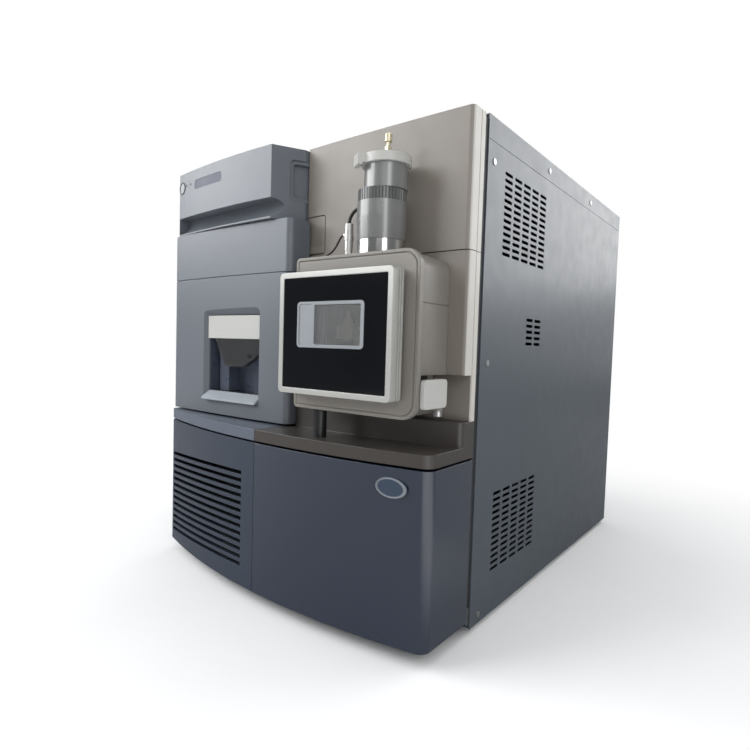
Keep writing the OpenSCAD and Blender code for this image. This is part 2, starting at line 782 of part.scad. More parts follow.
// The bay's opening flares towards the front: [x0, x1, z0, z1] at its throat and at the cover's face.
bay_in = [left_x + 100, left_x + 235, 279, 409];
bay_out = [left_x + 89, left_x + 236.5, 267, 420.5];
bay_in_r = 2;
bay_out_r = 10;
bay_face = -column_lower_reach - 1;
bay_throat = bay_face + 11;
liner_front = bay_throat + 3;
liner_back = -30;
liner_wall = 2;

module bay_outline(box, r, grow) {
    round_rect(box[0] - grow, box[1] + grow, box[2] - grow, box[3] + grow, r + grow);
}

module bay_cover() placed() color([0.36, 0.4, 0.47]) {
    z0 = column_foot;
    z1 = middle_seam_z - seam / 2;
    difference() {
        along_z(z0, z1) column_plan(0);
        // the hollow, less the block that the flared opening is cut in
        difference() {
            column_hollow(z0, z1);
            along_y(bay_face - 5, liner_front) bay_outline(bay_out, bay_out_r, wall);
        }
        hull() {
            along_y(bay_face - 0.1, bay_face) bay_outline(bay_out, bay_out_r, 0, $fn = 32);
            along_y(bay_throat, bay_throat + 0.1) bay_outline(bay_in, bay_in_r, 0, $fn = 32);
        }
        along_y(bay_throat - 1, -20) bay_outline(bay_in, bay_in_r, 0);
    }
}

module bay_liner() placed() color([0.16, 0.19, 0.26])
    difference() {
        along_y(liner_front, liner_back) bay_outline(bay_in, bay_in_r, liner_wall);
        difference() {
            along_y(liner_front - cut, liner_back - liner_wall) bay_outline(bay_in, bay_in_r, 0);
            // raised pad on the back wall and the upright beside it
            block([left_x + 185, liner_back - 14, bay_in[2] - cut], [bay_in[1] + cut, liner_back, 345]);
            block([left_x + 113, liner_back - 26, bay_in[2] + 5], [left_x + 136, liner_back, 345]);
        }
    }

block_z0 = 371;
block_front = -72;
module fluidics_block() placed() color([0.9, 0.9, 0.9])
    difference() {
        block([bay_in[0] + 1, block_front, block_z0], [bay_in[1] - 1, liner_back - liner_wall, bay_in[3] - 1]);
        block([bay_in[0] + 6, block_front + 12, block_z0 - cut], [bay_in[1] - 6, liner_back - 6, block_z0 + 14]);
    }

// Clear splash guard, (X, Z): a narrow cup on the left that widens to the bay's right side.
trough_x0 = left_x + 120;
trough_x1 = left_x + 230;
trough_points = [
    [trough_x0, block_z0], [trough_x0 + 21, 326], [trough_x0 + 68, 326], [trough_x0 + 95, 340],
    [trough_x1, 349], [trough_x1, block_z0]
];
trough_wall = 1.2;
trough_t = 12;

module clear_trough() placed() color([0.8, 0.82, 0.85, 0.5])
    difference() {
        along_y(block_front, block_front + trough_t) polygon(trough_points);
        along_y(block_front + trough_wall, block_front + trough_t - trough_wall)
            offset(delta = -trough_wall) polygon(trough_points);
    }

tube_r = 1.1;
module red_tubes() placed() color([0.8, 0.35, 0.3])
    translate([0, block_front + trough_t / 2, 329]) {
        translate([trough_x0 + 32, 0, 0]) rotate([0, -11, 0]) cylinder(r = tube_r, h = 41.2);
        translate([trough_x0 + 68, 0, 2]) rotate([0, -2, 0]) cylinder(r = tube_r, h = 38.5);
    }

// The tray's lip lies on the slope below the opening.
tray_gap = 0.5;
module drip_tray() placed() color([0.88, 0.88, 0.87]) {
    low = bay_in[2] + tray_gap;
    along_x(bay_in[0] + 1.5, bay_in[1] - 1.5) polygon([
        [liner_front, low], [bay_throat, low], [bay_face - 1, bay_out[2] + 3],
        [bay_face - 5, bay_out[2] + 3], [bay_face - 5, bay_out[2] + 6], [bay_throat, low + 4.5],
        [liner_front, low + 4.5]
    ]);
    block([bay_in[0] + 1.5, liner_front - 0.1, low], [bay_in[1] - 1.5, liner_back - 16, low + 2]);
}

module waste_port() placed() color([0.1, 0.1, 0.1]) {
    floor_z = bay_in[2] + tray_gap + 2;
    // mat in the tray, the port standing on it and the screw in the splash guard
    difference() {
        block([bay_in[0] + 2, liner_front + 0.2, floor_z], [bay_in[1] - 2, liner_back - 17, floor_z + 2]);
        translate([bay_in[1] - 12, -58, floor_z - cut]) cylinder(r = 3.5, h = 5);
    }
    translate([bay_in[1] - 12, -58, 0]) tube(6, 3.5, floor_z + 1, floor_z + 8);
    translate([trough_x0 + 85.5, block_front, 344]) rotate([90, 0, 0]) tube(3, 1.5, 0, 1.5);
}

// ---------------------------------------------------------------- source

drain = [right_x - 176, -105];
drain_r = 8.5;

// Points of a quarter of a circle that starts at angle a.
function quarter(x, y, r, a) = [for (i = [0 : corner_steps]) let (t = a + 90 * i / corner_steps) [x + r * cos(t), y + r * sin(t)]];

// Outline of the source, (X, Z): large corners on the right, small ones on the hinge side. The
// right side stands back by the lip.
module source_outline(inset, lip) {
    x1 = flange_x1 - lip;
    r = source_r - inset;
    left_r = flange_left_r - inset;
    polygon(concat(
        quarter(x1 - source_r, flange_z1 - source_r, r, 0),
        quarter(flange_x0 + flange_left_r, flange_z1 - flange_left_r, left_r, 90),
        quarter(flange_x0 + flange_left_r, flange_z0 + flange_left_r, left_r, 180),
        quarter(x1 - source_r, flange_z0 + source_r, r, 270)
    ));
}

module chamber_outline() {
    round_rect(chamber_x0, chamber_x1, chamber_z0, chamber_z1, 14);
}

module source_housing() placed() color([0.45, 0.42, 0.39]) {
    difference() {
        union() {
            difference() {
                along_y(flange_back, housing_back) source_outline(1, flange_lip);
                // undercut beside the latch
                block([right_x - 45, flange_back + 10, flange_z0 - cut], [right_x, 0, groove_z1]);
            }
            // lug of the latch
            translate([0, 0, latch_z0 - latch_lug_t]) along_z(0, latch_lug_t - running_gap) {
                translate(latch_pivot) circle(latch_knuckle_r);
                translate([right_x - 47, latch_pivot[1] - latch_knuckle_r])
                    square([latch_pivot[0] - right_x + 47, 2 * latch_knuckle_r]);
            }
        }
        along_y(flange_back - cut, chamber_back) chamber_outline();
        // relief over the hand groove
        along_y(chamber_back - cut, housing_back + cut) translate([source_x, nose_z]) circle(nose_r + pin_fit);
        // seam line across the side
        block([flange_x1 - flange_lip - 1.8, flange_back + 4, 417.6], [right_x, 0, 418.4]);
        translate([probe[0], probe[1], chamber_z1 - cut]) cylinder(r = stem_r + pin_fit, h = 60);
        translate([latch_pivot[0], latch_pivot[1], latch_z0 - 10]) cylinder(r = latch_pin_r + pin_fit, h = 12);
        translate([drain[0], drain[1], flange_z0 - cut]) cylinder(r = drain_r + pin_fit, h = 8);
    }
}

module source_flange() placed() color([0.62, 0.59, 0.56])
    difference() {
        along_y(flange_front, flange_back) source_outline(0, 0);
        along_y(flange_front - cut, flange_back + cut) chamber_outline();
        // shallow groove inside the flange's rim
        along_y(flange_front - cut, flange_front + 1) difference() {
            source_outline(4, 0);
            source_outline(5.2, 0);
        }
        translate([drain[0], drain[1], flange_z0 - cut]) cylinder(r = drain_r + pin_fit, h = 8);
    }

seal_w = 8;
module door_seal() placed() color([0.2, 0.2, 0.2])
    difference() {
        along_y(door_back + 0.3, flange_front) round_rect(door_x0 + 5, door_x1 - 5, door_z0 + 5, door_z1 - 5, 10);
        along_y(door_back, flange_front + cut)
            round_rect(door_x0 + 5 + seal_w, door_x1 - 5 - seal_w, door_z0 + 5 + seal_w, door_z1 - 5 - seal_w, 8);
    }

door_grooves = [11.5, 16];
groove_w = 1.8;
module door_outline(inset) {
    round_rect(door_x0 + inset, door_x1 - inset, door_z0 + inset, door_z1 - inset, 6 - inset);
}

knuckles_door = [320, 421];
knuckles_frame = [341, 400];
knuckle_h = 20;

module door_frame() placed() color([0.85, 0.85, 0.83]) {
    difference() {
        union() {
            difference() {
                along_y(door_front, door_back) door_outline(0);
                along_y(door_front - cut, door_back + cut) door_inner_outline();
                // two grooves around the frame's edge
                for (y = door_grooves) along_y(door_front + y, door_front + y + groove_w) difference() {
                    door_outline(-cut);
                    door_outline(groove_w);
                }
            }
            for (z = knuckles_door) {
                translate([door_hinge[0], door_hinge[1], z]) cylinder(r = hinge_r, h = knuckle_h);
                block([door_hinge[0] - 1, door_back - 3, z], [door_x0 + 2, door_hinge[1], z + knuckle_h]);
            }
        }
        for (z = knuckles_door)
            translate([door_hinge[0], door_hinge[1], z - cut]) cylinder(r = hinge_pin_r + pin_fit, h = knuckle_h + 2);
    }
}

// Outline inside the door's frame, (X, Z).
module door_inner_outline() {
    round_rect(door_x0 + frame_w, door_x1 - frame_w, door_z0 + frame_w, door_z1 - frame_w, 2);
}

module bezel_outline(inset) {
    round_rect(bezel_x0 + inset, bezel_x1 - inset, bezel_z0 + inset, bezel_z1 - inset, 5 - inset);
}

module door_glass() placed() color([0.05, 0.055, 0.08])
    difference() {
        along_y(door_front + 0.8, door_front + 5) door_inner_outline();
        along_y(door_front - cut, door_front + 6) bezel_outline(0);
    }

module door_liner() placed() color([0.7, 0.71, 0.72])
    difference() {
        along_y(door_front + 5, door_back) door_inner_outline();
        along_y(door_front + 4, door_back + cut) round_rect(pane_x0, pane_x1, pane_z0, pane_z1, 2);
        along_y(door_back - 8, door_back + cut)
            round_rect(door_x0 + 20, door_x1 - 20, door_z0 + 20, door_z1 - 20, 6);
    }

module window_bezel() placed() color([0.62, 0.64, 0.67])
    difference() {
        along_y(door_front + 0.2, door_front + 5) bezel_outline(0);
        along_y(door_front - cut, door_front + 6) round_rect(pane_x0, pane_x1, pane_z0, pane_z1, 2);
        along_y(door_front - cut, door_front + 1) round_rect(bezel_x0 + 3, pane_x0 - 2, bezel_z0 + 3, bezel_z1 - 3, 3);
    }

module window_pane() placed() color([0.75, 0.8, 0.85, 0.3])
    along_y(door_front + 1.2, door_front + 5) round_rect(pane_x0, pane_x1, pane_z0, pane_z1, 2);

module door_hinge_bracket() placed() color([0.6, 0.6, 0.6])
    difference() {
        for (z = knuckles_frame) {
            translate([door_hinge[0], door_hinge[1], z + 0.5]) cylinder(r = hinge_r, h = knuckle_h - 1);
            block([door_hinge[0], door_hinge[1] - 2, z + 0.5], [flange_x0, door_hinge[1] + 4, z + knuckle_h - 0.5]);
        }
        for (z = knuckles_frame)
            translate([door_hinge[0], door_hinge[1], z - cut]) cylinder(r = hinge_pin_r + pin_fit, h = knuckle_h + 2);
    }

module door_hinge_pin() placed() color([0.75, 0.76, 0.78])
    translate([door_hinge[0], door_hinge[1], 317]) cylinder(r = hinge_pin_r, h = 127);

// Ion block on the chamber's rear wall with the sample cone on top.
cone_at = [right_x - 155, -78];
module cone_holder() placed() color([0.85, 0.78, 0.62]) {
    block([cone_at[0] - 13, cone_at[1] - 8, 374], [cone_at[0] + 13, chamber_back, 390]);
    translate([cone_at[0], cone_at[1], 390]) {
        cylinder(r = 9, h = 4);
        translate([0, 0, 4]) cylinder(r1 = 8, r2 = 1, h = 18);
    }
}

module light_rod() placed() color([0.9, 0.92, 0.95])
    translate([chamber_x0 + 17, -96, chamber_z0]) cylinder(r = 2, h = chamber_z1 - chamber_z0);

latch_y0 = -113;
latch_y1 = -62;
module latch_paddle() placed() color([0.9, 0.9, 0.9]) {
    difference() {
        union() {
            along_x(latch_x0, latch_x1) round_rect(latch_y0, latch_y1, latch_z0, latch_z1, 5);
            translate([latch_pivot[0], latch_pivot[1], latch_z0]) cylinder(r = latch_knuckle_r, h = latch_z1 - latch_z0);
        }
        translate([latch_pivot[0], latch_pivot[1], latch_z0 - cut]) cylinder(r = latch_pin_r + pin_fit, h = 40);
    }
}

module latch_pin() placed() color([0.8, 0.82, 0.84])
    translate([latch_pivot[0], latch_pivot[1], 0]) {
        translate([0, 0, latch_z0 - 9]) cylinder(r = latch_pin_r, h = latch_z1 - latch_z0 + 8);
        // head under the housing's lug
        translate([0, 0, latch_z0 - 11]) cylinder(r = latch_knuckle_r, h = 11 - latch_lug_t - 0.1);
    }

module drain_tube() placed() color([0.1, 0.1, 0.11])
    translate([drain[0], drain[1], 0]) tube(drain_r, drain_r - 2, ledge_z - 2 * wall, flange_z0 + 6);

// ---------------------------------------------------------------- probe

probe_base_z = flange_z1 - 1;
stem_r = probe_r - 9;
lead_angle = 128;

module probe_lock_ring() placed() color([0.8, 0.81, 0.83])
    translate([probe[0], probe[1], 0])
        tube(probe_r - 0.5, stem_r + pin_fit, probe_base_z + running_gap, probe_z);

module probe_body() placed() color([0.45, 0.47, 0.49])
    translate([probe[0], probe[1], 0]) {
        // stem that carries the rings, with the sprayer below it
        translate([0, 0, chamber_z1 - 4]) cylinder(r = stem_r, h = probe_z + probe_steps[2] + 1 - chamber_z1 + 4);
        translate([0, 0, chamber_z1 - 40]) cylinder(r1 = 2, r2 = 6, h = 36.5);
        translate([0, 0, probe_z + running_gap]) cylinder(r1 = probe_r - 0.5, r2 = probe_r + 0.7, h = probe_steps[0] - running_gap);
        translate([0, 0, probe_z + probe_steps[0]]) cylinder(r = probe_r + 0.2, h = probe_steps[1] - probe_steps[0] - running_gap);
        translate([probe_shift, 0, probe_z + probe_steps[2] + running_gap])
            cylinder(r = head_r, h = probe_h - probe_steps[2] - running_gap);
        // gland of the heater lead on the back of the body
        translate([0, 0, probe_z + 38]) rotate([0, 0, lead_angle]) rotate([0, 90, 0])
            translate([0, 0, probe_r - 1]) cylinder(r = 3.5, h = 6);
    }

knurl_count = 48;
module probe_adjuster() placed() color([0.4, 0.42, 0.44])
    translate([probe[0], probe[1], 0]) difference() {
        tube(probe_r - 0.2, stem_r + pin_fit, probe_z + probe_steps[1], probe_z + probe_steps[2]);
        for (i = [0 : knurl_count - 1]) rotate(i * 360 / knurl_count)
            translate([probe_r - 0.2, 0, probe_z + probe_steps[1] - cut]) rotate(45)
                translate([-0.6, -0.6, 0]) cube([1.2, 1.2, 20]);
    }

collar_h = 11;
collar_reach = 40;
collar_turn = 236;
module probe_collar() placed() color([0.9, 0.9, 0.89])
    translate([probe[0] + probe_shift, probe[1], probe_z + probe_h]) {
        cylinder(r = probe_r + 0.5, h = collar_h);
        // arm with a turned-down end, towards the front left
        rotate(collar_turn) {
            block([probe_r - 6, -9, 0], [collar_reach, 9, collar_h]);
            block([collar_reach - 6, -9, -3], [collar_reach, 9, collar_h]);
        }
    }

nut_r = 4.6;
connector = [right_x - 158, -78];
connector_top = probe_base_z + 48.5;
outlet_z = connector_top - 14;

// Union and studs on the collar, and the connector that stands beside the probe.
module probe_fittings() placed() color([0.75, 0.68, 0.5]) {
    translate([probe[0] + probe_shift + 2, probe[1], probe_z + probe_h + collar_h]) {
        for (a = [0 : 60 : 300]) rotate(a) translate([13, 0, 0]) cylinder(r = 2.2, h = 5);
        cylinder(r = 8, h = 4);
        translate([0, 0, 4]) cylinder(r = nut_r, h = 10, $fn = 6);
        translate([0, 0, 14]) cylinder(r = 2.4, h = 6);
        translate([0, 0, 20]) cylinder(r = nut_r, h = 9);
        translate([0, 0, 29]) cylinder(r1 = nut_r, r2 = 3, h = 1.5);
    }
    translate([connector[0], connector[1], 0]) {
        translate([0, 0, probe_base_z]) cylinder(r = 7, h = 4);
        translate([0, 0, probe_base_z + 4]) cylinder(r = 4.6, h = 10);
        translate([0, 0, probe_base_z + 14]) cylinder(r = 5.4, h = connector_top - probe_base_z - 14);
        translate([0, 0, probe_base_z + 27]) cylinder(r = 6.2, h = 6);
        // side outlet of the signal lead
        translate([0, 0, outlet_z]) rotate([0, -90, 0]) cylinder(r = 2.6, h = 8);
    }
    translate([signal_route[len(signal_route) - 1][0], signal_route[len(signal_route) - 1][1], probe_base_z])
        cylinder(r = 3, h = 3);
}

// Leads: tubes swept along hand-picked points, which a spline joins smoothly.
lead_end = [probe[0], probe[1], probe_z + 38] + (probe_r + 5.8) * [cos(lead_angle), sin(lead_angle), 0];
heater_route = [
    [connector[0], connector[1], connector_top + 0.1],
    [connector[0] + 1, -77, connector_top + 9],
    [connector[0] + 6, -73, connector_top + 18],
    [connector[0] + 14, -64, connector_top + 24],
    [connector[0] + 22, -52, connector_top + 22],
    lead_end + 7 * [cos(lead_angle), sin(lead_angle), 0.3],
    lead_end
];
signal_route = [
    [connector[0] - 8.1, connector[1], outlet_z],
    [connector[0] - 14, connector[1], outlet_z - 2],
    [connector[0] - 23, -77, outlet_z - 13],
    [connector[0] - 32, -76, outlet_z - 20],
    [connector[0] - 40, -75, outlet_z - 23],
    [connector[0] - 45, -74, outlet_z - 27],
    [connector[0] - 46, -74, probe_base_z + 3.1]
];

// Points of a Catmull-Rom spline through a route, steps per stretch.
function spline_point(p, i, t) =
    let (
        p0 = p[max(i - 1, 0)], p1 = p[i], p2 = p[i + 1], p3 = p[min(i + 2, len(p) - 1)]
    )
    0.5 * (2 * p1 + (p2 - p0) * t + (2 * p0 - 5 * p1 + 4 * p2 - p3) * t * t + (3 * p1 - p0 - 3 * p2 + p3) * t * t * t);
function spline(p, steps) = concat(
    [for (i = [0 : len(p) - 2], k = [0 : steps - 1]) spline_point(p, i, k / steps)],
    [p[len(p) - 1]]
);
function unit(v) = v / norm(v);
function heading(p, i) = unit(p[min(i + 1, len(p) - 1)] - p[max(i - 1, 0)]);

// Tube with flat ends along points that all lead away from the start of the route.
module swept_tube(points, r, sides, side_axis) {
    rings = [for (i = [0 : len(points) - 1])
        let (
            d = heading(points, i),
            u = unit(cross(d, side_axis)),
            v = cross(d, u)
        )
        for (k = [0 : sides - 1]) points[i] + r * (cos(360 * k / sides) * u + sin(360 * k / sides) * v)];
    count = len(points);
    polyhedron(
        points = rings,
        faces = concat(
            [[for (k = [0 : sides - 1]) k]],
            [[for (k = [sides - 1 : -1 : 0]) (count - 1) * sides + k]],
            [for (i = [0 : count - 2], k = [0 : sides - 1])
                [i * sides + k, (i + 1) * sides + k, (i + 1) * sides + (k + 1) % sides]],
            [for (i = [0 : count - 2], k = [0 : sides - 1])
                [i * sides + k, (i + 1) * sides + (k + 1) % sides, i * sides + (k + 1) % sides]]
        )
    );
}

module source_leads() placed() color([0.08, 0.08, 0.09]) {
    swept_tube(spline(heater_route, 4), 2.2, 10, [0.3, 1, 0]);
    swept_tube(spline(signal_route, 4), 1.3, 8, [0, 1, 0]);
}

// ---------------------------------------------------------------- vacuum system

module vacuum_manifold() placed() color([0.75, 0.76, 0.77]) {
    lid_z = manifold_z1 - 12;
    difference() {
        union() {
            block([manifold_x0, manifold_y0, manifold_z0], [manifold_x1, manifold_y1, manifold_z1]);
            translate([source_x, chamber_back, nose_z]) rotate([-90, 0, 0])
                cylinder(r = nose_r, h = manifold_y0 - chamber_back + cut);
        }
        block([manifold_x0 + manifold_wall, manifold_y0 + manifold_wall, manifold_z0 + manifold_wall],
            [manifold_x1 - manifold_wall, manifold_y1 - manifold_wall, lid_z]);
        translate([source_x, chamber_back + 6, nose_z]) rotate([-90, 0, 0])
            cylinder(r = nose_bore, h = manifold_y0 + manifold_wall - chamber_back);
        translate([source_x, chamber_back - cut, nose_z]) rotate([-90, 0, 0]) cylinder(r = 4, h = 10);
        translate([pump_x, pump_y, manifold_z0 - cut]) cylinder(r = pump_r - 12, h = manifold_wall + 2 * cut);
    }
}

rod_r = 6;
rod_gap = 5.2;
module quadrupole(y0, y1) {
    for (a = [45 : 90 : 315])
        translate([source_x, y0, nose_z]) rotate([-90, 0, 0]) rotate(a) translate([rod_r + rod_gap, 0, 0])
            cylinder(r = rod_r, h = y1 - y0);
}

module optics_ring(y0, y1, r_out, r_in) {
    translate([source_x, y0, nose_z]) rotate([-90, 0, 0]) tube(r_out, r_in, 0, y1 - y0);
}

optics_rail_z = manifold_z0 + manifold_wall;
module ion_optics() placed() color([0.82, 0.8, 0.74]) {
    // rail with a saddle under each element
    block([source_x - 20, optics_y0, optics_rail_z], [source_x + 20, manifold_y1 - 30, optics_rail_z + 8]);
    for (i = [0 : 9]) {
        y = optics_y0 + 6 + i * 6;
        optics_ring(y, y + 3, 24, 5);
        block([source_x - 8, y, optics_rail_z + 7], [source_x + 8, y + 3, nose_z - 20]);
    }
    for (y = [140, 240, 350, 440]) {
        optics_ring(y, y + 10, 26, rod_gap + 2 * rod_r - 1);
        block([source_x - 10, y, optics_rail_z + 7], [source_x + 10, y + 10, nose_z - 22]);
    }
    quadrupole(130, 260);
    optics_ring(275, 335, 24, 8);
    block([source_x - 10, 300, optics_rail_z + 7], [source_x + 10, 310, nose_z - 20]);
    quadrupole(345, 455);
    // detector
    block([source_x - 22, 470, optics_rail_z + 7], [source_x + 22, 510, nose_z + 22]);
}

pump_wall = 5;
module turbo_pump() placed() color([0.6, 0.62, 0.65])
    translate([pump_x, pump_y, 0]) difference() {
        union() {
            translate([0, 0, pump_z0]) cylinder(r = pump_r, h = manifold_z0 - pump_z0);
            translate([0, 0, manifold_z0 - 14]) cylinder(r = pump_r + 8, h = 14);
            translate([0, 0, pump_z0 - 30]) cylinder(r = pump_r - 18, h = 30);
            for (z = [pump_z0 + 10 : 14 : pump_z0 + 80]) translate([0, 0, z]) cylinder(r = pump_r + 3, h = 6);
        }
        translate([0, 0, pump_z0 + 24]) cylinder(r = pump_r - pump_wall, h = manifold_z0 - pump_z0);
        translate([0, 0, pump_z0 - 10]) cylinder(r = 10 + pin_fit, h = 60);
    }

module turbo_rotor() placed() color([0.8, 0.8, 0.82])
    translate([pump_x, pump_y, 0]) {
        translate([0, 0, pump_z0 - 9]) cylinder(r = 10, h = 160);
        for (z = [pump_z0 + 34 : 16 : manifold_z0 - 30]) translate([0, 0, z]) {
            cylinder(r = 26, h = 10);
            intersection() {
                cylinder(r = pump_r - pump_wall - 1.5, h = 8);
                for (a = [0 : 30 : 330]) rotate(a) translate([20, 0, 4]) rotate([40, 0, 0])
                    block([0, -6, -0.8], [40, 6, 0.8]);
            }
        }
    }

module manifold_stands() placed() color([0.55, 0.57, 0.6])
    for (y = [80, 510]) difference() {
        block([manifold_x0, y, tray_z + tray_t], [manifold_x1, y + 30, manifold_z0]);
        block([manifold_x0 + 3, y - cut, tray_z + tray_t + 3], [manifold_x1 - 3, y + 31, manifold_z0 - 3]);
    }

module electronics() placed() color([0.5, 0.52, 0.5]) {
    z0 = tray_z + tray_t;
    // power supply case
    difference() {
        block([-240, 260, z0], [-90, 560, 150]);
        block([-238, 262, z0 + 2], [-92, 558, 148]);
        along_y(258, 264) for (i = [0 : 5], k = [0 : 6]) translate([-222 + i * 23, 40 + k * 14]) slot(18, 5);
    }
    // shelf on its own legs, with the RF generator and the control board
    for (x = [-262, -42]) block([x, 120, z0], [x + 2, 560, 302]);
    block([-262, 120, 300], [-40, 560, 302]);
    difference() {
        block([-240, 300, 302], [-80, 540, 420]);
        block([-238, 302, 304], [-82, 538, 418]);
    }
    for (x = [-230, -80], y = [150, 270]) translate([x, y, 302]) cylinder(r = 4, h = 10);
    block([-240, 140, 312], [-70, 280, 314]);
    for (i = [0 : 3]) block([-225 + i * 38, 170, 314], [-205 + i * 38, 200, 318]);
    for (i = [0 : 2]) translate([-215 + i * 50, 245, 314]) cylinder(r = 8, h = 22);
}

// ---------------------------------------------------------------- output

base_tray();
feet();
front_bulkhead();
side_panel_right();
side_panel_left();
top_cover();
panel_screws();
rear_panel();
upper_fascia();
lower_fascia();
ledge_right();
ledge_left();
lower_cover_right();
grille_cover();
badge();
upper_cover();
middle_cover();
bay_cover();
bay_liner();
power_button();
power_ring();
status_lights();
display_strip();
cover_hinge_bracket();
cover_hinge_pin();
fluidics_block();
clear_trough();
red_tubes();
drip_tray();
waste_port();
source_housing();
source_flange();
door_seal();
door_frame();
door_glass();
door_liner();
window_bezel();
window_pane();
door_hinge_bracket();
door_hinge_pin();
cone_holder();
light_rod();
latch_paddle();
latch_pin();
drain_tube();
probe_lock_ring();
probe_body();
probe_adjuster();
probe_collar();
probe_fittings();
source_leads();
vacuum_manifold();
manifold_stands();
ion_optics();
turbo_pump();
turbo_rotor();
electronics();
fan_frame();
fan_rotor();
rear_fittings();
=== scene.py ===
"""Looks of a benchtop mass spectrometer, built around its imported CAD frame.

Lengths are in metres in the frame's axes: +Z up, front towards -Y, floor at Z = 0.
"""
import json
import math

import bpy
from mathutils import Matrix, Vector

MM = 0.001

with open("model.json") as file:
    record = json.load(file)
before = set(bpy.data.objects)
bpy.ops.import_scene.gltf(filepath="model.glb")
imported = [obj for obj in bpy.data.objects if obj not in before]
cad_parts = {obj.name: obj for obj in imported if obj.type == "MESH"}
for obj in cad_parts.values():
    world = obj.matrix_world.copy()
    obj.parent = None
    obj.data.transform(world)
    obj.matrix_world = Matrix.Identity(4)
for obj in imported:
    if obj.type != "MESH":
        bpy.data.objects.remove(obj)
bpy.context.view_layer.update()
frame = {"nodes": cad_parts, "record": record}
nodes = frame["nodes"]
scene = bpy.context.scene


# ------------------------------------------------------------------ camera

# The photograph's camera, found from the corners of the right side panel.
CAMERA_AT = Vector((0.6022, -0.8859, 0.3734))
YAW = math.radians(37.216)
PITCH_DOWN = math.radians(2.964)
ROLL = math.radians(1.766)
LENS_MM = 26.505
SENSOR_MM = 36.0
CLIP_START = 0.01


def add_camera():
    forward = Vector((-math.sin(YAW) * math.cos(PITCH_DOWN),
                      math.cos(YAW) * math.cos(PITCH_DOWN),
                      -math.sin(PITCH_DOWN)))
    right = Vector((math.cos(YAW), math.sin(YAW), 0.0))
    up = right.cross(forward)
    cam_x = math.cos(ROLL) * right + math.sin(ROLL) * up
    cam_y = -math.sin(ROLL) * right + math.cos(ROLL) * up
    data = bpy.data.cameras.new("camera")
    data.lens = LENS_MM
    data.sensor_width = SENSOR_MM
    data.clip_start = CLIP_START
    camera = bpy.data.objects.new("camera", data)
    turn = Matrix((cam_x, cam_y, -forward)).transposed().to_4x4()
    camera.matrix_world = Matrix.Translation(CAMERA_AT) @ turn
    scene.collection.objects.link(camera)
    scene.camera = camera


add_camera()


# ------------------------------------------------------------------ node trees

# Sockets of the Mix node when it mixes colours, which share their names with its other kinds.
MIX_FIRST = 6
MIX_SECOND = 7
MIX_RESULT = 2


def linear(channel):
    """One sRGB channel, 0 to 255, as the linear value that shaders use."""
    c = channel / 255.0
    return c / 12.92 if c <= 0.04045 else ((c + 0.055) / 1.055) ** 2.4


def colour(red, green, blue):
    return (linear(red), linear(green), linear(blue), 1.0)


def grey(value):
    return (value, value, value, 1.0)


def tint(rgba, factor):
    return tuple(min(1.0, c * factor) for c in rgba[:3]) + (1.0,)


